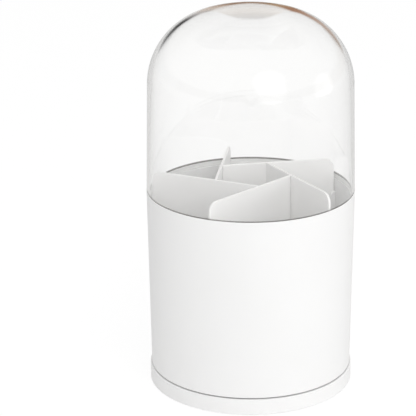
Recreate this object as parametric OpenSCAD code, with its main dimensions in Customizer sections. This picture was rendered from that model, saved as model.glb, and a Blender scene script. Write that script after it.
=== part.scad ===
// Rotating makeup organizer: a round cup with five windmill dividers stands on a ball-bearing
// turntable base, under a clear dome that lifts off. Millimetres, +Z up, with the origin at the
// centre of the surface that the feet rest on. The front is -Y.

/* [Cup] */
// Height of the cup's rim above the resting surface
rim_height = 131.1; // [110.1:0.2:150.1]
// Outer radius of the cup at its rim
rim_radius = 67.5; // [67:0.1:69]
// Outer radius of the cup at its lower edge
cup_foot_radius = 65.6; // [65:0.1:66.4]
// Thickness of the cup's wall
cup_wall = 2.2; // [2:0.1:2.4]
// Thickness of the cup's floor
cup_floor = 3.2; // [3:0.1:5]
// Width of the flat rim beside the rebate that takes the dome's foot
rim_lip = 1.1; // [1:0.1:1.2]
// Depth of that rebate
seat_depth = 4; // [3:0.5:6]

/* [Dome] */
// Thickness of the dome's wall at the rim
dome_wall = 1.9; // [1.8:0.1:2]
// How far the dome's wall leans in, in degrees
dome_draft = 1.1; // [0.5:0.05:1.5]
// How much more the wall's inner face leans, in degrees, which thickens the shoulder and crown
core_taper = 0.65; // [0:0.05:1]
// Height above the rim at which the wall starts to bend into the shoulder
shoulder_rise = 70.9; // [50:0.1:90]
// Outer radius of the bend at the shoulder
shoulder_bend = 47.6; // [40:0.1:50]
// Outer radius of the flatter crown
crown_bend = 114; // [105:1:150]

/* [Dividers] */
// Number of divider panels, and so of outer cells
vane_count = 5; // [5:1:5]
// Distance from the axis to the middle of each panel, which sets the size of the middle cell
vane_offset = 21; // [18:0.5:23]
// Thickness of a panel
vane_thickness = 1.6; // [1.4:0.1:1.8]
// Height that a panel stands above the rim
vane_rise = 10.4; // [4:0.2:20]
// Radius of the round upper corner of a panel
vane_corner = 6.5; // [2:0.5:8]
// Turn of the first panel about the axis, in degrees
vane_turn = -42; // [-72:1:72]

/* [Base] */
// Outer radius of the turntable base
base_radius = 66.6; // [66.4:0.1:68]
// Height of the base's rim above the resting surface
base_height = 10.8; // [10.6:0.1:12]
// Height of the seam between the base and the cup
seam_gap = 0.6; // [0.6:0.1:1]
// Height that the soft pads lift the base
pad_proud = 0.4; // [0.4:0.1:0.8]
// Radius of a soft pad
pad_radius = 8; // [6:0.5:8]

/* [Bearing] */
// Radius of a bearing ball
ball_radius = 2; // [1.8:0.1:2]
// Number of bearing balls
ball_count = 16; // [8:1:24]
// Radius of the circle that the balls run on
race_radius = 50; // [48:0.5:52]
// Radius of the pivot shaft
shaft_radius = 6; // [5:0.5:6]

/* [Hidden] */

// Rendering and boolean overlap
$fn = 180;
eps = 0.01;
over = 1;

// Gaps: a running fit for the shaft, a loose fit inside one body, and room round the balls
running_gap = 0.06;
fit_gap = 0.05;
play = 0.3;

// Cup
cup_bottom = base_height + seam_gap;
floor_top = cup_bottom + cup_floor;
cup_draft = atan((rim_radius - cup_foot_radius) / (rim_height - cup_bottom));
rebate_radius = rim_radius - rim_lip;
rebate_bottom = rim_height - seat_depth;
rim_round = 0.4;
foot_round = 0.5;
function cup_outer(z) = cup_foot_radius + (z - cup_bottom) * tan(cup_draft);
function cup_inner(z) = cup_outer(z) - cup_wall;

// Dome
spigot_gap = 0.1;
spigot_lift = 0.2;
spigot_radius = rebate_radius - spigot_gap;
spigot_bottom = rebate_bottom + spigot_lift;
dome_chamfer = 0.25;
dome_foot_radius = rim_radius - spigot_gap;
shoulder_z = rim_height + shoulder_rise;
shoulder_radius = dome_foot_radius - shoulder_rise * tan(dome_draft);
bend_x = shoulder_radius - shoulder_bend * cos(dome_draft);
bend_z = shoulder_z - shoulder_bend * sin(dome_draft);
crown_z = bend_z - sqrt(pow(crown_bend - shoulder_bend, 2) - pow(bend_x, 2));
crown_angle = atan((bend_z - crown_z) / bend_x);
core_draft = dome_draft + core_taper;
core_foot_radius = dome_foot_radius - dome_wall / cos(core_draft);
core_lean = (bend_z - rim_height) * tan(core_draft);
core_bend = (core_foot_radius - core_lean - bend_x) * cos(core_draft);

// A point well outside the dome in the direction of the given angle
function ray(angle) = 2 * crown_bend * [cos(angle), sin(angle)];

// Dividers
vane_step = 360 / vane_count;
half_cell = vane_offset * tan(vane_step / 2);
vane_top = rim_height + vane_rise;
vane_bottom = floor_top + fit_gap;
vane_edge_gap = 0.2;
tab_starts = [4, 38];
tab_length = 10;
tab_depth = 1;
tongue_thickness = 0.8;
tongue_depth = 0.6;
rail_width = 1.2;
rail_depth = 2.5;
rail_drop = 12;
rail_top = rim_height - rail_drop;
// Length along a panel at which its outer edge, on the side away from the axis, meets radius r
function vane_reach(r) = sqrt(pow(r, 2) - pow(vane_offset + vane_thickness / 2, 2));
function wall_reach(z) = vane_reach(cup_inner(z) - vane_edge_gap);

// Bearing, with its heights set down from the cup's underside
race_depth = 3.7;
race_gap = 2;
plate_bottom = cup_bottom - race_depth;
lower_race_top = plate_bottom - race_gap;
ball_z = (plate_bottom + lower_race_top) / 2;
groove_radius = ball_radius + play;
race_half_width = 5;
cage_half_width = 3.8;
cage_thickness = race_gap - 2 * play;
pocket_gap = 0.2;
pocket_radius = ball_radius + pocket_gap;

// Base
base_bottom = pad_proud;
base_skin = 2;
base_top_skin = base_bottom + base_skin;
base_wall = 2.4;
base_round = 0.4;
post_radius = 15;
post_drop = 0.6;
post_depth = 2.4;
post_top = plate_bottom - post_drop;
post_roof = post_top - post_depth;
recess_radius = 11.5;

// Pivot
bush_wall = 1.94;
bush_flange_radius = 10;
bush_flange = 0.5;
shaft_drop = 0.2;
shaft_end = post_roof - shaft_drop;
hub_radius = 12;
washer_radius = 9.5;
washer_thickness = 0.8;
screw_radius = 2;
screw_head_radius = 3.8;
screw_head = 1.4;
screw_cover = 1;
screw_top = cup_bottom - screw_cover;
plug_thickness = 1.2;
plug_round = 0.3;
notch = 1.6;

// Upper race plate and its screws
plate_radius = 58;
plate_skin = 2;
plate_screw_circle = 36;
plate_screw_radius = 1.4;
plate_screw_head_radius = 2.8;
plate_screw_sink = 1.4;
plate_screw_tip = floor_top - screw_cover;
plate_screw_shift = 0.25;
plate_pad_radius = 5;
cross_width = 0.7;
cross_length = 2.6;
cross_depth = 0.8;

// Soft pads
pad_circle = 52;
pad_inset = 0.9;
pad_gap = 0.15;
pad_chamfer = 0.3;
pad_count = 4;
pad_shift = 0.5;

// Colours
white = "#f2f1ef";
ivory = "#ebe9e5";
clear = [0.88, 0.92, 0.94, 0.35];
steel = "#b4b7ba";
grey = "#9a9c9e";
amber = "#d8c9a8";

// What is left of a corner square once its round corner is kept
module corner_waste(r) {
    difference() {
        square(r + over);
        circle(r);
    }
}

// A slab of the given thickness in the plane of vane 0. The profile's first axis runs outwards
// along the vane from the point nearest the axis, and its second axis runs up.
module in_vane_plane(thickness) {
    translate([vane_offset, 0, 0])
        rotate([90, 0, -90])
            linear_extrude(thickness, center = true)
                children();
}

module at_vane(index) {
    rotate([0, 0, vane_turn + index * vane_step])
        children();
}

// Half section of one face of the dome, closed to the axis: the wall, which leans in from the
// radius foot at the rim, the round shoulder, and the flatter crown that the shoulder runs into
module dome_section(foot, draft, shoulder) {
    crown = crown_bend - shoulder_bend + shoulder;
    below = spigot_bottom - over;
    wall_x = foot + (rim_height - below) * tan(draft);
    wall_start = [bend_x + shoulder * cos(draft), bend_z + shoulder * sin(draft)];
    crown_end = [crown * cos(crown_angle), crown_z + crown * sin(crown_angle)];
    polygon([[0, below], [wall_x, below], wall_start, [bend_x, bend_z], crown_end,
             [0, crown_end.y]]);
    translate([bend_x, bend_z])
        intersection() {
            circle(shoulder);
            polygon([[-over, -over], ray(-over), ray(crown_angle + over), [-over, over]]);
        }
    translate([0, crown_z])
        intersection() {
            circle(crown);
            polygon([[0, 0], ray(crown_angle), [0, crown_bend / cos(crown_angle)]]);
        }
}

module dome_cover() {
    color(clear)
        rotate_extrude()
            difference() {
                dome_section(dome_foot_radius, dome_draft, shoulder_bend);
                dome_section(core_foot_radius, core_draft, core_bend);
                // below the rim only the thin spigot is left
                translate([spigot_radius, 0])
                    square([rim_radius, rim_height]);
                square([2 * rim_radius, spigot_bottom]);
                // small chamfers at the foot
                translate([dome_foot_radius, rim_height])
                    rotate(45)
                        square(dome_chamfer * sqrt(2), center = true);
                translate([spigot_radius, spigot_bottom])
                    rotate(45)
                        square(dome_chamfer * sqrt(2), center = true);
            }
}

// A pair of rails on the cup's wall that hold a vane's outer edge
module vane_rails() {
    low = floor_top - over;
    for (side = [-1, 1])
        translate([side * (vane_thickness / 2 + fit_gap + rail_width / 2), 0, 0])
            in_vane_plane(rail_width)
                polygon([[wall_reach(low) - rail_depth, low],
                         [wall_reach(low) + over, low],
                         [wall_reach(rail_top) + over, rail_top - over],
                         [wall_reach(rail_top), rail_top],
                         [wall_reach(rail_top) - rail_depth, rail_top - rail_depth]]);
}

// Pockets in the floor that the tabs of a vane's lower edge stand in
module tab_pockets() {
    for (start = tab_starts)
        in_vane_plane(vane_thickness + 2 * fit_gap)
            translate([start, floor_top - tab_depth])
                square([tab_length, tab_depth + over]);
}

module cup_shell() {
    color(white)
        difference() {
            union() {
                rotate_extrude()
                    difference() {
                        polygon([[0, cup_bottom], [cup_foot_radius, cup_bottom],
                                 [rim_radius, rim_height], [rebate_radius, rim_height],
                                 [rebate_radius, rebate_bottom],
                                 [cup_inner(rebate_bottom), rebate_bottom],
                                 [cup_inner(floor_top), floor_top], [0, floor_top]]);
                        translate([rim_radius - rim_round, rim_height - rim_round])
                            corner_waste(rim_round);
                        translate([cup_foot_radius - foot_round, cup_bottom + foot_round])
                            mirror([0, 1])
                                corner_waste(foot_round);
                    }
                for (index = [0 : vane_count - 1])
                    at_vane(index)
                        vane_rails();
            }
            for (index = [0 : vane_count - 1]) {
                at_vane(index)
                    tab_pockets();
                at_plate_screw(index)
                    translate([0, 0, cup_bottom - over])
                        cylinder(h = plate_screw_tip - cup_bottom + over + fit_gap,
                                 r = plate_screw_radius + fit_gap);
            }
        }
}

// Outline of a vane seen square on: round upper outer corner, outer edge along the cup's wall,
// and two tabs below
module vane_outline() {
    inner = -half_cell - vane_thickness;
    foot = wall_reach(vane_bottom);
    edge = wall_reach(rim_height);
    corner_z = vane_top - vane_corner;
    polygon([[inner, vane_bottom], [foot, vane_bottom], [edge, rim_height], [edge, corner_z],
             [edge - vane_corner, corner_z], [edge - vane_corner, vane_top],
             [inner, vane_top]]);
    translate([edge - vane_corner, corner_z])
        intersection() {
            circle(vane_corner);
            square(vane_corner);
        }
    for (start = tab_starts)
        translate([start + fit_gap, vane_bottom - tab_depth])
            square([tab_length - 2 * fit_gap, tab_depth + fit_gap]);
}

// Everything beyond a plane at distance x from the axis, square to the next vane
module past_next_vane(x) {
    rotate([0, 0, vane_step])
        translate([x, -rim_radius, 0])
            cube([rim_radius, 2 * rim_radius, 2 * vane_top]);
}

// A vane butts on the inner face of the next one, with a thin tongue let into it
module divider_vane(index) {
    inner_face = vane_offset - vane_thickness / 2;
    color(white)
        at_vane(index)
            difference() {
                union() {
                    difference() {
                        in_vane_plane(vane_thickness)
                            vane_outline();
                        past_next_vane(inner_face - fit_gap);
                    }
                    difference() {
                        in_vane_plane(tongue_thickness)
                            vane_outline();
                        past_next_vane(inner_face + tongue_depth - fit_gap);
                    }
                }
                // groove for the tongue of the vane before
                intersection() {
                    rotate([0, 0, -vane_step])
                        in_vane_plane(tongue_thickness + 2 * fit_gap)
                            translate([-half_cell - 2 * vane_thickness, 0])
                                square([3 * vane_thickness, 2 * vane_top]);
                    translate([inner_face - over, 0, 0])
                        mirror([0, 1, 0])
                            cube([tongue_depth + over, rim_radius, 2 * vane_top]);
                }
            }
}

module at_plate_screw(index) {
    rotate([0, 0, vane_turn + (index - plate_screw_shift) * vane_step])
        translate([0, -plate_screw_circle, 0])
            children();
}

// Ring of circular section that a ball runs in
module race_groove() {
    rotate_extrude()
        translate([race_radius, ball_z])
            circle(groove_radius);
}

module plate_screw_hole() {
    translate([0, 0, plate_bottom - over])
        cylinder(h = cup_bottom - plate_bottom + 2 * over, r = plate_screw_radius + fit_gap);
    translate([0, 0, plate_bottom - eps])
        cylinder(h = plate_screw_sink + eps, r1 = plate_screw_head_radius + fit_gap,
                 r2 = plate_screw_radius + fit_gap);
}

module upper_race_plate() {
    color(ivory)
        difference() {
            union() {
                translate([0, 0, cup_bottom - plate_skin])
                    cylinder(h = plate_skin, r = plate_radius);
                translate([0, 0, plate_bottom])
                    difference() {
                        cylinder(h = plate_skin, r = race_radius + race_half_width);
                        translate([0, 0, -over])
                            cylinder(h = plate_skin + over, r = race_radius - race_half_width);
                    }
                translate([0, 0, plate_bottom])
                    cylinder(h = plate_skin, r = hub_radius);
                translate([0, 0, shaft_end])
                    cylinder(h = plate_bottom - shaft_end + eps, r = shaft_radius);
                for (index = [0 : vane_count - 1])
                    at_plate_screw(index)
                        translate([0, 0, plate_bottom])
                            cylinder(h = plate_skin, r = plate_pad_radius);
            }
            race_groove();
            translate([0, 0, shaft_end - over])
                cylinder(h = screw_top - shaft_end + over + fit_gap, r = screw_radius + fit_gap);
            for (index = [0 : vane_count - 1])
                at_plate_screw(index)
                    plate_screw_hole();
        }
}

// Cross slot cut upwards into a screw head whose face is at z = 0
module cross_slot() {
    for (turn = [0, 90])
        rotate([0, 0, turn])
            translate([-cross_length / 2, -cross_width / 2, -over])
                cube([cross_length, cross_width, cross_depth + over]);
}

module race_plate_screws() {
    color(steel)
        for (index = [0 : vane_count - 1])
            at_plate_screw(index)
                difference() {
                    union() {
                        translate([0, 0, plate_bottom])
                            cylinder(h = plate_screw_sink, r1 = plate_screw_head_radius,
                                     r2 = plate_screw_radius);
                        translate([0, 0, plate_bottom + plate_screw_sink])
                            cylinder(h = plate_screw_tip - plate_bottom - plate_screw_sink,
                                     r = plate_screw_radius);
                    }
                    translate([0, 0, plate_bottom])
                        cross_slot();
                }
}

module ball_cage() {
    color(ivory)
        translate([0, 0, ball_z - cage_thickness / 2])
            difference() {
                cylinder(h = cage_thickness, r = race_radius + cage_half_width);
                translate([0, 0, -over])
                    cylinder(h = cage_thickness + 2 * over, r = race_radius - cage_half_width);
                for (index = [0 : ball_count - 1])
                    rotate([0, 0, index * 360 / ball_count])
                        translate([race_radius, 0, -over])
                            cylinder(h = cage_thickness + 2 * over, r = pocket_radius);
            }
}

module bearing_balls() {
    color(steel)
        for (index = [0 : ball_count - 1])
            rotate([0, 0, index * 360 / ball_count])
                translate([race_radius, 0, ball_z])
                    sphere(ball_radius);
}

module turntable_base() {
    color(white)
        difference() {
            rotate_extrude()
                difference() {
                    polygon([[0, post_roof], [recess_radius, post_roof],
                             [recess_radius, base_bottom], [base_radius, base_bottom],
                             [base_radius, base_height], [base_radius - base_wall, base_height],
                             [base_radius - base_wall, base_top_skin],
                             [race_radius + race_half_width, base_top_skin],
                             [race_radius + race_half_width, lower_race_top],
                             [race_radius - race_half_width, lower_race_top],
                             [race_radius - race_half_width, base_top_skin],
                             [post_radius, base_top_skin], [post_radius, post_top],
                             [0, post_top]]);
                    translate([base_radius - rim_round, base_height - rim_round])
                        corner_waste(rim_round);
                    translate([base_radius - base_round, base_bottom + base_round])
                        mirror([0, 1])
                            corner_waste(base_round);
                }
            race_groove();
            translate([0, 0, post_roof - over])
                cylinder(h = post_top - post_roof + 2 * over,
                         r = shaft_radius + bush_wall + fit_gap);
            for (index = [0 : pad_count - 1])
                at_pad(index)
                    translate([0, 0, base_bottom - over])
                        cylinder(h = pad_inset + over, r = pad_radius + pad_gap);
        }
}

module pivot_bush() {
    color(amber)
        difference() {
            union() {
                translate([0, 0, post_roof])
                    cylinder(h = post_top - post_roof + eps, r = shaft_radius + bush_wall);
                translate([0, 0, post_top])
                    cylinder(h = bush_flange, r = bush_flange_radius);
            }
            translate([0, 0, post_roof - over])
                cylinder(h = post_top + bush_flange - post_roof + 2 * over,
                         r = shaft_radius + running_gap);
        }
}

module pivot_washer() {
    color(steel)
        translate([0, 0, shaft_end - washer_thickness])
            difference() {
                cylinder(h = washer_thickness, r = washer_radius);
                translate([0, 0, -over])
                    cylinder(h = washer_thickness + 2 * over, r = screw_radius + fit_gap);
            }
}

module pivot_screw() {
    head_top = shaft_end - washer_thickness;
    color(steel)
        difference() {
            union() {
                translate([0, 0, head_top - screw_head])
                    cylinder(h = screw_head, r = screw_head_radius);
                translate([0, 0, head_top - eps])
                    cylinder(h = screw_top - head_top + eps, r = screw_radius);
            }
            translate([0, 0, head_top - screw_head])
                cross_slot();
        }
}

module screw_cap_plug() {
    plug_radius = recess_radius - 2 * fit_gap;
    color(ivory)
        difference() {
            rotate_extrude()
                polygon([[0, base_bottom], [plug_radius - plug_round, base_bottom],
                         [plug_radius, base_bottom + plug_round],
                         [plug_radius, base_bottom + plug_thickness],
                         [0, base_bottom + plug_thickness]]);
            // notch at the edge to lift the plug out
            translate([plug_radius - notch / 2, -notch / 2, base_bottom - over])
                cube([notch, notch, plug_thickness / 2 + over]);
        }
}

module at_pad(index) {
    rotate([0, 0, (index + pad_shift) * 360 / pad_count])
        translate([pad_circle, 0, 0])
            children();
}

module foot_pad(index) {
    color(grey)
        at_pad(index)
            rotate_extrude()
                polygon([[0, 0], [pad_radius - pad_chamfer, 0], [pad_radius, pad_chamfer],
                         [pad_radius, pad_proud + pad_inset], [0, pad_proud + pad_inset]]);
}

dome_cover();
cup_shell();
divider_vane(0);  // divider_vane_1
divider_vane(1);  // divider_vane_2
divider_vane(2);  // divider_vane_3
divider_vane(3);  // divider_vane_4
divider_vane(4);  // divider_vane_5
upper_race_plate();
race_plate_screws();
ball_cage();
bearing_balls();
turntable_base();
pivot_bush();
pivot_washer();
pivot_screw();
screw_cap_plug();
foot_pad(0);  // foot_pad_1
foot_pad(1);  // foot_pad_2
foot_pad(2);  // foot_pad_3
foot_pad(3);  // foot_pad_4
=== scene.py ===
"""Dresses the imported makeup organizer: a clear dome, a white cup with five dividers, and the
turntable base under them. Profile sizes are millimetres, as in part.scad; meshes are metres."""

import math

import bmesh
import bpy
from mathutils import Matrix, Vector


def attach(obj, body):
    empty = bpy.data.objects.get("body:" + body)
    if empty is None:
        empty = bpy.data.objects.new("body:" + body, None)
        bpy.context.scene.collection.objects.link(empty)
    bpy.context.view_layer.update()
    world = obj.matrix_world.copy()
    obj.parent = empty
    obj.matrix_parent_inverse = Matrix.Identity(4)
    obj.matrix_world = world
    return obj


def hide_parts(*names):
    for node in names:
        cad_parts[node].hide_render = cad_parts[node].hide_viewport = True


MM = 0.001

# Cup
RIM_Z = 131.1
RIM_R = 67.5
CUP_FOOT_R = 65.6
CUP_BOTTOM = 11.4
CUP_WALL = 2.2
FLOOR_TOP = CUP_BOTTOM + 3.2
REBATE_R = RIM_R - 1.1
REBATE_Z = RIM_Z - 4
RIM_ROUND = 0.4
FOOT_ROUND = 0.5
LIP_ROUND = 0.15
CORNER_ROUND = 1.2
CUP_SLOPE = (RIM_R - CUP_FOOT_R) / (RIM_Z - CUP_BOTTOM)

# Dome
DOME_WALL = 1.9
DOME_DRAFT = math.radians(1.1)
DOME_FOOT_R = RIM_R - 0.1
DOME_CHAMFER = 0.25
SPIGOT_R = REBATE_R - 0.1
SPIGOT_Z = REBATE_Z + 0.2
SHOULDER_Z = RIM_Z + 70.9
SHOULDER_BEND = 47.6
CROWN_BEND = 114.0
SHOULDER_R = DOME_FOOT_R - (SHOULDER_Z - RIM_Z) * math.tan(DOME_DRAFT)
BEND_X = SHOULDER_R - SHOULDER_BEND * math.cos(DOME_DRAFT)
BEND_Z = SHOULDER_Z - SHOULDER_BEND * math.sin(DOME_DRAFT)
CROWN_Z = BEND_Z - math.sqrt((CROWN_BEND - SHOULDER_BEND) ** 2 - BEND_X**2)
CROWN_ANGLE = math.atan2(BEND_Z - CROWN_Z, BEND_X)
CORE_DRAFT = math.radians(1.75)
CORE_FOOT_R = DOME_FOOT_R - DOME_WALL / math.cos(CORE_DRAFT)
CORE_LEAN = (BEND_Z - RIM_Z) * math.tan(CORE_DRAFT)
CORE_BEND = (CORE_FOOT_R - CORE_LEAN - BEND_X) * math.cos(CORE_DRAFT)
SPIGOT_NICK = 0.1

# Dividers
VANES = 5
VANE_STEP = math.tau / VANES
VANE_TURN = math.radians(-42)
VANE_OFFSET = 21.0
VANE_T = 1.6
VANE_TOP = RIM_Z + 10.4
VANE_CORNER = 6.5
VANE_BEVEL = 0.35
EDGE_GAP = 0.2
FIT_GAP = 0.05
VANE_BOTTOM = FLOOR_TOP + FIT_GAP
TABS = ((4.0, 14.0), (38.0, 48.0))
TAB_DEPTH = 1.0
RAIL_WIDTH = 1.2
RAIL_DEPTH = 2.5
RAIL_TOP = RIM_Z - 12
RAIL_SINK = 1.0  # how far a rail runs on into the cup's wall and floor
RAIL_BEVEL = 0.25

# Mesh fineness: faces round the axis, steps in each arc, and the rings on the straight walls
AROUND = 256
CROWN_STEPS = 14
SHOULDER_STEPS = 72
CORNER_STEPS = 14
ROUND_STEPS = 6
FOOT_STEPS = 5
CHAMFER_STEPS = 4
LIP_STEPS = 3
DOME_RINGS = (190, 175, 160, 145, 132)
CUP_OUTER_RINGS = range(20, 130, 10)
CUP_INNER_RINGS = range(120, 15, -15)
ON_AXIS = 1e-6  # a point nearer to the axis than this lies on it
SHARP = math.radians(40)
EDGE_ANGLE = math.radians(20)

# Opaque materials: two tones that mottle each one, and the roughness of all but the pads
CUP_WHITE = ((0.905, 0.904, 0.900), (0.892, 0.890, 0.885), 0.42)
DIVIDER_WHITE = ((0.925, 0.921, 0.914), (0.912, 0.907, 0.898), 0.36)
BASE_WHITE = ((0.903, 0.902, 0.898), (0.890, 0.888, 0.883), 0.40)
RACE_IVORY = ((0.80, 0.78, 0.73), (0.76, 0.74, 0.69), 0.38)
BUSH_AMBER = ((0.66, 0.55, 0.36), (0.60, 0.49, 0.31), 0.34)
PLUG_IVORY = ((0.84, 0.83, 0.80), (0.80, 0.79, 0.76), 0.45)
BALL_STEEL = ((0.62, 0.63, 0.64), (0.56, 0.57, 0.58), 0.16)
SCREW_STEEL = ((0.58, 0.58, 0.58), (0.50, 0.50, 0.51), 0.30)
PAD_GREY = ((0.36, 0.37, 0.38), (0.29, 0.30, 0.31))
PLASTIC_IOR = 1.5
# Painted shade: the cup's bottom face is painted dark grey where it shows in the narrow seam
SEAM_PAINTED_SHADE = (0.40, 0.40, 0.40)
SEAM_SHADE_SOFT = 0.1

# Clear plastic. A thin dark line of painted shade sits where its foot meets the rim: the line's
# heights over and under the rim, its soft edge, and its colour.
CLEAR_TINTS = ((0.992, 0.992, 0.989), (0.998, 0.998, 0.996))
CLEAR_SHADOW = (0.997, 0.997, 0.996)
CLEAR_IOR = 1.53
PAINTED_FOOT_LINE = (-0.3, 0.3)
FOOT_SOFT = 0.35
FOOT_PAINTED_SHADE = (0.24, 0.23, 0.22)

# Base
FOOT_PADS = 4

# Camera, from the photograph's perspective
LOOK_AT = Vector((0, 0, 0.11706))
CAMERA_DISTANCE = 1.3568
CAMERA_ELEVATION = math.radians(19.51)
LENS = 180.55
SENSOR = 36.0
PHOTO_WIDTH = 416
OBJECT_SHIFT = -42.75  # pixels of the photograph, from its middle to the object's axis
SHIFT_X = OBJECT_SHIFT / PHOTO_WIDTH

# Table: half its width, the white that is seen straight or through the dome, how much of that
# covers its own shading, and its two tones
FLOOR_SIZE = 2.0
FLOOR_WHITE = (1.07, 1.07, 1.07)
FLOOR_SHOWN = 0.80
FLOOR_TONES = ((0.86, 0.86, 0.86), (0.85, 0.85, 0.85))

# Lamps: name, azimuth from the front towards +X, elevation, distance, size and power
LAMPS = (
    ("key_front_right", 9, 36, 2.4, 1.9, 21),
    ("side_right", 80, 12, 2.2, 0.9, 4.6),
)
# Light that the world itself gives, and how much more of it comes from the right
WORLD_LIGHT = 0.727
WORLD_TILT = 0.08

# The room that reflections show, by the direction they go in. It turns from ROOM in front to
# ROOM_BEHIND over these ranges: of Y less Z for the walls, and of Y for the table.
ROOM = (0.955, 0.95, 0.945)
ROOM_BEHIND = (0.755, 0.75, 0.745)
ROOM_TURN = (0.8, 0.0)
ROOM_TURN_LOW = (0.5, -0.35)
# A dark gap over the table's edge: its colours behind the object by X, black on the left and
# brown on the right, and its colour on the other sides
GAP = (
    (-0.56, (0.74, 0.74, 0.74)),
    (-0.45, (0.22, 0.22, 0.22)),
    (-0.24, (0.04, 0.04, 0.04)),
    (-0.14, (0.52, 0.50, 0.49)),
    (-0.08, (0.64, 0.55, 0.48)),
    (-0.03, (0.34, 0.21, 0.14)),
    (0.02, (0.33, 0.20, 0.12)),
    (0.045, (0.48, 0.33, 0.21)),
    (0.08, (0.38, 0.21, 0.13)),
    (0.30, (0.54, 0.44, 0.38)),
    (0.45, (0.40, 0.33, 0.28)),
    (0.56, (0.74, 0.72, 0.70)),
)
HORIZON = (0.64, 0.63, 0.62)
# The gap's lower and upper edge in Z, each in the middle and aside. From GAP_DIP aside it is
# level, and GAP_CURVE shapes the dip between.
GAP_FOOT = (-0.13, 0.0)
GAP_TOP = (0.015, 0.19)
GAP_DIP = 0.12
GAP_CURVE = 1.3
GAP_SOFT = 0.02
# A dark round-topped screen that stands straight behind: its colours by Z, its half width, the
# height of its shoulders, and the rise and curve of its top
SCREEN = (
    (0.24, (0.82, 0.80, 0.78)),
    (0.36, (0.66, 0.59, 0.52)),
    (0.43, (0.46, 0.38, 0.32)),
    (0.48, (0.28, 0.20, 0.13)),
    (0.56, (0.08, 0.02, 0.0)),
)
SCREEN_HALF_WIDTH = 0.12
SCREEN_SHOULDER = 0.25
SCREEN_RISE = 0.347
SCREEN_CURVE = 2.5
SCREEN_SOFT = 0.08
# Soft glows that gloss shows: azimuth, elevation, radius and strength. A glow is full within
# GLOW_CORE of its radius and gone at GLOW_EDGE of it.
GLOWS = ((23, 29, 16, 1.1), (23, 11, 16, 1.1), (89, 3, 14, 0.9))
GLOW_CORE = 0.6
GLOW_EDGE = 1.25


# ---------------------------------------------------------------- mesh helpers


def cup_outer(z):
    return CUP_FOOT_R + (z - CUP_BOTTOM) * CUP_SLOPE


def cup_inner(z):
    return cup_outer(z) - CUP_WALL


def arc(centre, radius, start, end, steps):
    """Points on an arc in the (radius, height) plane. Angles are in radians from the +r axis."""
    return [
        (
            centre[0] + radius * math.cos(start + (end - start) * i / steps),
            centre[1] + radius * math.sin(start + (end - start) * i / steps),
        )
        for i in range(steps + 1)
    ]


def lathe(bm, profile, segments=AROUND):
    """Revolves (radius, height) points in mm about Z. A point on the axis becomes one vertex."""
    rings = []
    for r, z in profile:
        if r < ON_AXIS:
            rings.append([bm.verts.new((0, 0, z * MM))])
            continue
        rings.append(
            [
                bm.verts.new(
                    (
                        r * MM * math.cos(math.tau * k / segments),
                        r * MM * math.sin(math.tau * k / segments),
                        z * MM,
                    )
                )
                for k in range(segments)
            ]
        )
    for low, high in zip(rings, rings[1:]):
        for k in range(segments):
            n = (k + 1) % segments
            ends = [ring[i % len(ring)] for ring, i in ((low, k), (low, n), (high, n), (high, k))]
            bm.faces.new(list(dict.fromkeys(ends)))


def prism(outline, thickness, side=0.0):
    """A slab in the plane of vane 0: outline points are (distance along the vane, height)."""
    bm = bmesh.new()
    near, far = [], []
    for u, z in outline:
        near.append(bm.verts.new((VANE_OFFSET + side - thickness / 2, -u, z)))
        far.append(bm.verts.new((VANE_OFFSET + side + thickness / 2, -u, z)))
    bm.faces.new(near)
    bm.faces.new(far[::-1])
    for i in range(len(outline)):
        j = (i + 1) % len(outline)
        bm.faces.new((near[j], near[i], far[i], far[j]))
    return bm


def soften(bm, width, segments=3):
    """Rounds every edge that turns more than EDGE_ANGLE."""
    bmesh.ops.recalc_face_normals(bm, faces=bm.faces)
    edges = [e for e in bm.edges if e.is_manifold and e.calc_face_angle() > EDGE_ANGLE]
    bmesh.ops.bevel(
        bm,
        geom=edges,
        offset=width,
        offset_type="OFFSET",
        segments=segments,
        profile=0.5,
        affect="EDGES",
        clamp_overlap=True,
    )


def scaled_turned(bm, turn):
    """Millimetres to metres, then a turn about the axis."""
    bmesh.ops.scale(bm, vec=(MM, MM, MM), verts=bm.verts)
    bmesh.ops.rotate(bm, cent=(0, 0, 0), matrix=Matrix.Rotation(turn, 3, "Z"), verts=bm.verts)


def merge(target, source):
    mesh = bpy.data.meshes.new("part")
    source.to_mesh(mesh)
    source.free()
    target.from_mesh(mesh)
    bpy.data.meshes.remove(mesh)


def piece(name, bm, material, body, slot, *nodes):
    """A finished mesh object that rides on a body and stands for the CAD nodes."""
    bmesh.ops.recalc_face_normals(bm, faces=bm.faces)
    mesh = bpy.data.meshes.new(name)
    bm.to_mesh(mesh)
    bm.free()
    mesh.materials.append(material)
    mesh.shade_smooth()
    mesh.set_sharp_from_angle(angle=SHARP)
    obj = bpy.data.objects.new(name, mesh)
    bpy.context.scene.collection.objects.link(obj)
    normals = obj.modifiers.new("Flat faces stay flat", "WEIGHTED_NORMAL")
    normals.keep_sharp = True
    normals.weight = 100
    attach(obj, body)
    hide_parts(*nodes)
    return obj


# ---------------------------------------------------------------- material helpers


def node(tree, kind, inputs=(), **settings):
    """A new shader node with its settings, and its inputs set or linked by name or number."""
    made = tree.nodes.new(kind)
    for key, value in settings.items():
        setattr(made, key, value)
    for key, value in dict(inputs).items():
        if isinstance(value, bpy.types.NodeSocket):
            tree.links.new(value, made.inputs[key])
        else:
            made.inputs[key].default_value = value
    return made


def fresh(name):
    material = bpy.data.materials.new(name)
    material.use_nodes = True
    material.node_tree.nodes.clear()
    return material, material.node_tree


def place(tree):
    """Object coordinates: metres in the row frame."""
    return node(tree, "ShaderNodeTexCoord").outputs["Object"]


def noise(tree, where, scale, detail=3.0, roughness=0.5):
    made = node(
        tree,
        "ShaderNodeTexNoise",
        {"Vector": where, "Scale": scale, "Detail": detail, "Roughness": roughness},
    )
    return made.outputs["Fac"]


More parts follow.
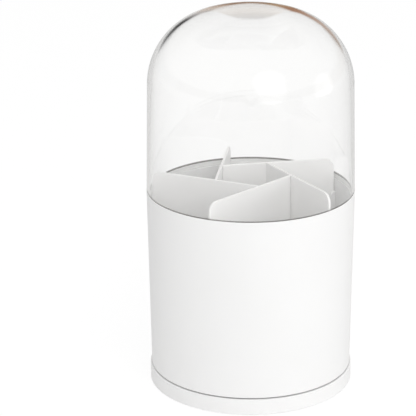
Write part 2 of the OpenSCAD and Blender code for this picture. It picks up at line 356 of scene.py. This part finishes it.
def remap(tree, value, low, high, from_low=0.3, from_high=0.7):
    made = node(
        tree,
        "ShaderNodeMapRange",
        {"Value": value, 1: from_low, 2: from_high, 3: low, 4: high},
    )
    return made.outputs["Result"]


def maths(tree, operation, *values):
    made = node(tree, "ShaderNodeMath", dict(enumerate(values)), operation=operation)
    return made.outputs[0]


def mix_colours(tree, factor, a, b):
    """Colour a at factor 0 and b at 1. Each is a link or three numbers."""
    ends = [(*end, 1) if isinstance(end, tuple) else end for end in (a, b)]
    made = node(tree, "ShaderNodeMix", {0: factor, 6: ends[0], 7: ends[1]}, data_type="RGBA")
    return made.outputs[2]


def mottled(tree, value, tones):
    """Two tones mixed by a noise value."""
    return mix_colours(tree, remap(tree, value, 0.0, 1.0), *tones)


def bumped(tree, height, strength, distance):
    made = node(
        tree, "ShaderNodeBump", {"Height": height, "Strength": strength, "Distance": distance}
    )
    return made.outputs[0]


def mix_shaders(tree, factor, a, b):
    return node(tree, "ShaderNodeMixShader", {0: factor, 1: a, 2: b}).outputs[0]


def output(tree, shader):
    node(tree, "ShaderNodeOutputMaterial", {"Surface": shader})


def moulded_plastic(name, light, dark, rough, painted_shade_height=None):
    """Injection-moulded plastic: a fine tool-texture, slow flow mottling, and handling marks
    that change the gloss a little. Faces at or below an optional height get painted shade:
    their colour is painted dark grey, as the shade in the seam."""
    material, tree = fresh(name)
    where = place(tree)
    mottle = noise(tree, where, scale=22.0, detail=4.0, roughness=0.6)
    marks = noise(tree, where, scale=95.0, detail=5.0, roughness=0.65)
    texture = noise(tree, where, scale=2600.0, detail=2.0)
    colour = mottled(tree, mottle, (light, dark))
    # Painted shade: faces at or below the given height turn dark grey, as the seam's shade
    if painted_shade_height is not None:
        height = node(tree, "ShaderNodeSeparateXYZ", {0: where}).outputs["Z"]
        clear = remap(tree, height, 0.0, 1.0, painted_shade_height * MM, (painted_shade_height + SEAM_SHADE_SOFT) * MM)
        colour = mix_colours(tree, clear, SEAM_PAINTED_SHADE, colour)
    shader = node(
        tree,
        "ShaderNodeBsdfPrincipled",
        {
            "Base Color": colour,
            "Roughness": remap(tree, marks, rough - 0.05, rough + 0.07),
            "Normal": bumped(tree, texture, strength=0.35, distance=0.00002),
            "IOR": PLASTIC_IOR,
        },
    )
    output(tree, shader.outputs[0])
    return material


def clear_plastic():
    """The dome: clear moulded plastic, a little uneven in gloss and waviness. Rays from lamps
    and soft bounce light pass straight through, so that the inside is lit."""
    material, tree = fresh("clear_dome")
    where = place(tree)
    waves = noise(tree, where, scale=14.0, detail=1.0, roughness=0.4)
    haze = noise(tree, where, scale=60.0, detail=4.0, roughness=0.6)
    height = node(tree, "ShaderNodeSeparateXYZ", {0: where}).outputs["Z"]
    # Painted shade: a thin dark line painted round the foot, where it meets the rim
    low, high = [(RIM_Z + edge) * MM for edge in PAINTED_FOOT_LINE]
    over = remap(tree, height, 0.0, 1.0, high, high + FOOT_SOFT * MM)
    under = remap(tree, height, 1.0, 0.0, low - FOOT_SOFT * MM, low)
    off_line = maths(tree, "MAXIMUM", over, under)
    tint_and_painted_line = mix_colours(tree, off_line, FOOT_PAINTED_SHADE, mottled(tree, haze, CLEAR_TINTS))
    glass = node(
        tree,
        "ShaderNodeBsdfPrincipled",
        {
            "Base Color": tint_and_painted_line,
            "Roughness": remap(tree, haze, 0.0, 0.012),
            "Transmission Weight": 1.0,
            "IOR": CLEAR_IOR,
            "Normal": bumped(tree, waves, strength=0.25, distance=0.0003),
        },
    )
    path = node(tree, "ShaderNodeLightPath").outputs
    passes = maths(tree, "MAXIMUM", path["Is Shadow Ray"], path["Is Diffuse Ray"])
    straight = node(tree, "ShaderNodeBsdfTransparent", {"Color": (*CLEAR_SHADOW, 1)})
    output(tree, mix_shaders(tree, passes, glass.outputs[0], straight.outputs[0]))
    return material


def brushed_steel(name, light, dark, rough):
    """Small steel parts: fine brush marks and a slightly uneven gloss."""
    material, tree = fresh(name)
    where = place(tree)
    marks = noise(tree, where, scale=1400.0, detail=3.0, roughness=0.6)
    stains = noise(tree, where, scale=160.0, detail=3.0, roughness=0.6)
    shader = node(
        tree,
        "ShaderNodeBsdfPrincipled",
        {
            "Base Color": mottled(tree, stains, (light, dark)),
            "Metallic": 1.0,
            "Roughness": remap(tree, marks, rough - 0.06, rough + 0.08),
            "Normal": bumped(tree, marks, strength=0.3, distance=0.00001),
        },
    )
    output(tree, shader.outputs[0])
    return material


def foam(name):
    """Soft closed-cell pad: a fine open grain and a dusty face."""
    material, tree = fresh(name)
    where = place(tree)
    cells = node(
        tree,
        "ShaderNodeTexVoronoi",
        {"Vector": where, "Scale": 1700.0},
        feature="DISTANCE_TO_EDGE",
    ).outputs["Distance"]
    dust = noise(tree, where, scale=240.0, detail=4.0, roughness=0.6)
    shader = node(
        tree,
        "ShaderNodeBsdfPrincipled",
        {
            "Base Color": mottled(tree, dust, PAD_GREY),
            "Roughness": remap(tree, dust, 0.82, 0.95),
            "Normal": bumped(tree, cells, strength=0.6, distance=0.00008),
        },
    )
    output(tree, shader.outputs[0])
    return material


# ---------------------------------------------------------------- sub-parts


def dome_face(foot, shoulder, draft):
    """One face of the dome from the top down: crown, shoulder, and the wall that leans in from
    the radius foot at the rim."""
    crown = CROWN_BEND - SHOULDER_BEND + shoulder
    return (
        arc((0, CROWN_Z), crown, math.pi / 2, CROWN_ANGLE, CROWN_STEPS)
        + arc((BEND_X, BEND_Z), shoulder, CROWN_ANGLE, draft, SHOULDER_STEPS)[1:]
        + [(foot + (RIM_Z - z) * math.tan(draft), z) for z in DOME_RINGS]
    )


def dome_cover(material):
    """One closed shell: down the inside, round the spigot and foot, and up the outside."""
    bm = bmesh.new()
    c = DOME_CHAMFER
    quarter = (-math.pi / 2, 0, CHAMFER_STEPS)
    inside = dome_face(CORE_FOOT_R, CORE_BEND, CORE_DRAFT)
    inner_foot = CORE_FOOT_R + (RIM_Z - SPIGOT_Z) * math.tan(CORE_DRAFT)
    foot = (
        [(inner_foot, SPIGOT_Z + SPIGOT_NICK), (inner_foot + SPIGOT_NICK, SPIGOT_Z)]
        + arc((SPIGOT_R - c, SPIGOT_Z + c), c, *quarter)
        + [(SPIGOT_R, RIM_Z)]
        + arc((DOME_FOOT_R - c, RIM_Z + c), c, *quarter)
    )
    outside = dome_face(DOME_FOOT_R, SHOULDER_BEND, DOME_DRAFT)
    lathe(bm, inside + foot + outside[::-1])
    return piece("dome_clear_cover", bm, material, "dome", "clear_dome", "dome_cover")


def wall_reach(z):
    """How far along its own plane a divider goes before it meets the cup's wall."""
    wall = cup_inner(z) - EDGE_GAP
    return math.sqrt(wall**2 - (VANE_OFFSET + VANE_T / 2) ** 2)


def rail_outline():
    low = FLOOR_TOP - RAIL_SINK
    return [
        (wall_reach(low) - RAIL_DEPTH, low),
        (wall_reach(low) + RAIL_SINK, low),
        (wall_reach(RAIL_TOP) + RAIL_SINK, RAIL_TOP - RAIL_SINK),
        (wall_reach(RAIL_TOP), RAIL_TOP),
        (wall_reach(RAIL_TOP) - RAIL_DEPTH, RAIL_TOP - RAIL_DEPTH),
    ]


def cup_body(material):
    """The cup with its rim rebate, and the pairs of rails that hold the dividers' edges."""
    bm = bmesh.new()
    quarter = math.pi / 2
    lip = (LIP_ROUND, quarter, 2 * quarter, LIP_STEPS)
    ledge_r = cup_inner(REBATE_Z)
    foot_centre = (CUP_FOOT_R - FOOT_ROUND, CUP_BOTTOM + FOOT_ROUND)
    corner_centre = (cup_inner(FLOOR_TOP) - CORNER_ROUND, FLOOR_TOP + CORNER_ROUND)
    profile = (
        [(0, CUP_BOTTOM)]
        + arc(foot_centre, FOOT_ROUND, -quarter, 0, FOOT_STEPS)
        + [(cup_outer(z), z) for z in CUP_OUTER_RINGS]
        + arc((RIM_R - RIM_ROUND, RIM_Z - RIM_ROUND), RIM_ROUND, 0, quarter, ROUND_STEPS)
        + arc((REBATE_R + LIP_ROUND, RIM_Z - LIP_ROUND), *lip)
        + [(REBATE_R, REBATE_Z)]
        + arc((ledge_r + LIP_ROUND, REBATE_Z - LIP_ROUND), *lip)
        + [(cup_inner(z), z) for z in CUP_INNER_RINGS]
        + arc(corner_centre, CORNER_ROUND, 0, -quarter, ROUND_STEPS)
        + [(0, FLOOR_TOP)]
    )
    lathe(bm, profile)
    for index in range(VANES):
        for side in (-1, 1):
            offset = side * (VANE_T / 2 + FIT_GAP + RAIL_WIDTH / 2)
            rail = prism(rail_outline(), RAIL_WIDTH, offset)
            soften(rail, RAIL_BEVEL)
            scaled_turned(rail, VANE_TURN + index * VANE_STEP)
            merge(bm, rail)
    return piece("cup_body", bm, material, "cup", "white_cup", "cup_shell")


def vane_outline():
    """A divider's outline: two tabs below, the cup's wall, a round corner, and the top edge."""
    inner = -VANE_OFFSET * math.tan(VANE_STEP / 2) - VANE_T
    edge = wall_reach(RIM_Z)
    lower = [(inner, VANE_BOTTOM)]
    for start, end in TABS:
        lower += [
            (start + FIT_GAP, VANE_BOTTOM),
            (start + FIT_GAP, VANE_BOTTOM - TAB_DEPTH),
            (end - FIT_GAP, VANE_BOTTOM - TAB_DEPTH),
            (end - FIT_GAP, VANE_BOTTOM),
        ]
    centre = (edge - VANE_CORNER, VANE_TOP - VANE_CORNER)
    corner = arc(centre, VANE_CORNER, 0, math.pi / 2, CORNER_STEPS)
    wall = [(wall_reach(VANE_BOTTOM), VANE_BOTTOM), (edge, RIM_Z)]
    return [*lower, *wall, *corner, (inner, VANE_TOP)]


def divider_panel(index, material):
    """One panel, cut back where it butts on the face of the next one."""
    bm = prism(vane_outline(), VANE_T)
    across = Vector((math.cos(VANE_STEP), math.sin(VANE_STEP), 0))
    cut = bmesh.ops.bisect_plane(
        bm,
        geom=bm.verts[:] + bm.edges[:] + bm.faces[:],
        plane_co=across * (VANE_OFFSET - VANE_T / 2 - FIT_GAP),
        plane_no=across,
        clear_outer=True,
    )
    rim = [e for e in cut["geom_cut"] if isinstance(e, bmesh.types.BMEdge)]
    bmesh.ops.edgenet_fill(bm, edges=rim)
    soften(bm, VANE_BEVEL)
    scaled_turned(bm, VANE_TURN + index * VANE_STEP)
    name = f"divider_panel_{index + 1}"
    return piece(name, bm, material, "cup", "white_divider", f"divider_vane_{index + 1}")


def finish_cad_nodes(materials):
    """The hidden works and the base keep their CAD shape and get their finish."""
    for name, material in materials.items():
        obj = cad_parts[name]
        for index in range(len(obj.material_slots)):
            obj.material_slots[index].material = material
        obj.data.shade_smooth()
        obj.data.set_sharp_from_angle(angle=SHARP)


# ---------------------------------------------------------------- stage


def reflected(tree):
    """1 on a path that has been reflected at least once, 0 on one that went straight through."""
    path = node(tree, "ShaderNodeLightPath").outputs
    return maths(tree, "GREATER_THAN", path["Glossy Depth"], 0.5)


def studio_floor():
    """A pale table that keeps the object's shadow. Seen straight or through the dome it is
    mostly plain white, so that the shadow stays faint. Reflections show the room's tones in
    it, and from below it is clear."""
    bm = bmesh.new()
    bmesh.ops.create_grid(bm, x_segments=2, y_segments=2, size=FLOOR_SIZE)
    mesh = bpy.data.meshes.new("studio_floor")
    bm.to_mesh(mesh)
    bm.free()
    floor = bpy.data.objects.new("studio_floor", mesh)
    bpy.context.scene.collection.objects.link(floor)
    material, tree = fresh("studio_floor")
    path = node(tree, "ShaderNodeLightPath").outputs
    seen = maths(tree, "MAXIMUM", path["Is Camera Ray"], path["Is Glossy Ray"])
    seen = maths(tree, "MAXIMUM", seen, path["Is Transmission Ray"])
    outward = node(tree, "ShaderNodeVectorMath", {0: place(tree)}, operation="NORMALIZE")
    behind = node(tree, "ShaderNodeSeparateXYZ", {0: outward.outputs[0]}).outputs["Y"]
    room = mix_colours(tree, remap(tree, behind, 0.0, 1.0, *ROOM_TURN_LOW), ROOM_BEHIND, ROOM)
    shade = mix_colours(tree, reflected(tree), FLOOR_WHITE, room)
    white = node(tree, "ShaderNodeEmission", {"Color": shade, "Strength": 1.0})
    tone = mottled(tree, noise(tree, place(tree), scale=30.0), FLOOR_TONES)
    matt = node(tree, "ShaderNodeBsdfDiffuse", {"Color": tone})
    shown = maths(tree, "MULTIPLY", seen, FLOOR_SHOWN)
    top = mix_shaders(tree, shown, matt.outputs[0], white.outputs[0])
    under = node(tree, "ShaderNodeNewGeometry").outputs["Backfacing"]
    clear = node(tree, "ShaderNodeBsdfTransparent")
    output(tree, mix_shaders(tree, under, top, clear.outputs[0]))
    mesh.materials.append(material)


def direction(azimuth, elevation):
    """Unit vector. Azimuth is measured from the front (-Y) towards +X, in degrees."""
    a, e = math.radians(azimuth), math.radians(elevation)
    return Vector((math.sin(a) * math.cos(e), -math.cos(a) * math.cos(e), math.sin(e)))


def colour_by(tree, value, tones):
    """Colours set out along a value that lies between -1 and 1."""
    ramp = node(
        tree, "ShaderNodeValToRGB", {0: maths(tree, "MULTIPLY_ADD", value, 0.5, 0.5)}
    )
    stops = ramp.color_ramp.elements
    while len(stops) < len(tones):
        stops.new(1.0)
    for stop, (at, colour) in zip(stops, tones):
        stop.position = (at + 1) / 2
        stop.color = (*colour, 1)
    return ramp.outputs[0]


def step(tree, value, threshold):
    """0 to 1 as the value passes the threshold, over a short soft stretch."""
    return remap(tree, maths(tree, "SUBTRACT", value, threshold), 0.0, 1.0, -GAP_SOFT, GAP_SOFT)


def glow(tree, towards, azimuth, elevation, radius, strength):
    """A round soft patch of extra light in one compass direction."""
    nearness = node(
        tree,
        "ShaderNodeVectorMath",
        {0: towards, 1: direction(azimuth, elevation)},
        operation="DOT_PRODUCT",
    ).outputs["Value"]
    low, high = [math.cos(math.radians(radius * part)) for part in (GLOW_EDGE, GLOW_CORE)]
    return node(
        tree,
        "ShaderNodeMapRange",
        {"Value": nearness, 1: low, 2: high, 3: 0.0, 4: strength},
        interpolation_type="SMOOTHSTEP",
    ).outputs["Result"]


def studio_world():
    """White for the camera and straight through the dome, a plain soft level to light the
    object, and the room's own tones in reflections. All of it goes by compass direction."""
    world = bpy.data.worlds.new("studio")
    bpy.context.scene.world = world
    world.use_nodes = True
    tree = world.node_tree
    tree.nodes.clear()
    towards = node(tree, "ShaderNodeTexCoord").outputs["Generated"]
    axis = node(tree, "ShaderNodeSeparateXYZ", {0: towards}).outputs
    path = node(tree, "ShaderNodeLightPath").outputs

    lit = node(
        tree,
        "ShaderNodeBackground",
        {
            "Color": (1, 1, 1, 1),
            "Strength": maths(tree, "MULTIPLY_ADD", axis["X"], WORLD_TILT, WORLD_LIGHT),
        },
    )
    turn = remap(tree, maths(tree, "SUBTRACT", axis["Y"], axis["Z"]), 0.0, 1.0, *ROOM_TURN)
    room = mix_colours(tree, turn, ROOM_BEHIND, ROOM)
    behind = maths(tree, "GREATER_THAN", axis["Y"], 0.0)

    across = maths(tree, "DIVIDE", maths(tree, "ABSOLUTE", axis["X"]), SCREEN_HALF_WIDTH)
    over = maths(tree, "MAXIMUM", maths(tree, "SUBTRACT", axis["Z"], SCREEN_SHOULDER), 0.0)
    up = maths(tree, "DIVIDE", over, SCREEN_RISE)
    outline = [maths(tree, "POWER", part, SCREEN_CURVE) for part in (across, up)]
    spread = maths(tree, "ADD", *outline)
    screen = remap(tree, spread, 1.0, 0.0, 1.0 - SCREEN_SOFT, 1.0)
    screen = maths(tree, "MULTIPLY", screen, behind)
    room = mix_colours(tree, screen, room, colour_by(tree, axis["Z"], SCREEN))

    aside = maths(tree, "DIVIDE", maths(tree, "ABSOLUTE", axis["X"]), GAP_DIP)
    dip = maths(tree, "POWER", aside, GAP_CURVE)
    over_foot = step(tree, axis["Z"], remap(tree, dip, *GAP_FOOT, 0.0, 1.0))
    under_top = step(tree, remap(tree, dip, *GAP_TOP, 0.0, 1.0), axis["Z"])
    gap = maths(tree, "MULTIPLY", over_foot, under_top)
    tone = mix_colours(tree, behind, HORIZON, colour_by(tree, axis["X"], GAP))
    room = mix_colours(tree, gap, room, tone)
    strength = 1.0
    for patch in GLOWS:
        strength = maths(tree, "ADD", glow(tree, towards, *patch), strength)
    shown = node(tree, "ShaderNodeBackground", {"Color": room, "Strength": strength})
    white = node(tree, "ShaderNodeBackground", {"Color": (1, 1, 1, 1), "Strength": 1.0})
    gloss = maths(tree, "MAXIMUM", path["Is Glossy Ray"], path["Is Transmission Ray"])
    studio = mix_shaders(tree, gloss, lit.outputs[0], shown.outputs[0])
    through = maths(tree, "SUBTRACT", path["Is Transmission Ray"], reflected(tree))
    plain = maths(tree, "MAXIMUM", path["Is Camera Ray"], through)
    surface = mix_shaders(tree, plain, studio, white.outputs[0])
    node(tree, "ShaderNodeOutputWorld", {"Surface": surface})


def aim(obj, target):
    obj.rotation_mode = "QUATERNION"
    obj.rotation_quaternion = (target - obj.location).to_track_quat("-Z", "Y")


def softbox(name, azimuth, elevation, distance, size, power):
    """A square lamp for soft light. Its place in gloss is taken by a glow of the world."""
    lamp = bpy.data.lights.new(name, "AREA")
    lamp.shape = "SQUARE"
    lamp.size = size
    lamp.energy = power
    obj = bpy.data.objects.new(name, lamp)
    obj.location = LOOK_AT + distance * direction(azimuth, elevation)
    obj.visible_glossy = False
    obj.visible_transmission = False
    aim(obj, LOOK_AT)
    bpy.context.scene.collection.objects.link(obj)


def camera():
    data = bpy.data.cameras.new("camera")
    data.lens = LENS
    data.sensor_width = SENSOR
    data.shift_x = SHIFT_X
    obj = bpy.data.objects.new("camera", data)
    e = CAMERA_ELEVATION
    obj.location = LOOK_AT + CAMERA_DISTANCE * Vector((0, -math.cos(e), math.sin(e)))
    aim(obj, LOOK_AT)
    bpy.context.scene.collection.objects.link(obj)
    bpy.context.scene.camera = obj


# ---------------------------------------------------------------- build

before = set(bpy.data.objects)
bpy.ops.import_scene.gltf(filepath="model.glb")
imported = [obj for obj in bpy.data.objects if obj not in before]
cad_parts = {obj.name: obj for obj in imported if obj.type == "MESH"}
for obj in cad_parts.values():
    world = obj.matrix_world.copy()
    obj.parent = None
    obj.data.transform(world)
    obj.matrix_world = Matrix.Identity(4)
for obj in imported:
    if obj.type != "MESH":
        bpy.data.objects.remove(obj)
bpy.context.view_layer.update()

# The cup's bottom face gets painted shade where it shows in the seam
white_cup = moulded_plastic("white_cup", *CUP_WHITE, painted_shade_height=CUP_BOTTOM)
white_divider = moulded_plastic("white_divider", *DIVIDER_WHITE)
white_base = moulded_plastic("white_base", *BASE_WHITE)
ivory_race = moulded_plastic("ivory_race", *RACE_IVORY)
amber_bush = moulded_plastic("amber_bush", *BUSH_AMBER)
ivory_plug = moulded_plastic("ivory_plug", *PLUG_IVORY)
ball_steel = brushed_steel("ball_steel", *BALL_STEEL)
screw_steel = brushed_steel("screw_steel", *SCREW_STEEL)
grey_pad = foam("grey_pad")

dome_cover(clear_plastic())
cup_body(white_cup)
for number in range(VANES):
    divider_panel(number, white_divider)
finish_cad_nodes(
    {
        "turntable_base": white_base,
        "upper_race_plate": ivory_race,
        "ball_cage": ivory_race,
        "bearing_balls": ball_steel,
        "race_plate_screws": screw_steel,
        "pivot_screw": screw_steel,
        "pivot_washer": screw_steel,
        "pivot_bush": amber_bush,
        "screw_cap_plug": ivory_plug,
        **{f"foot_pad_{number + 1}": grey_pad for number in range(FOOT_PADS)},
    }
)

studio_floor()
studio_world()
for lamp_setting in LAMPS:
    softbox(*lamp_setting)
camera()
bpy.context.scene.view_settings.view_transform = "Standard"
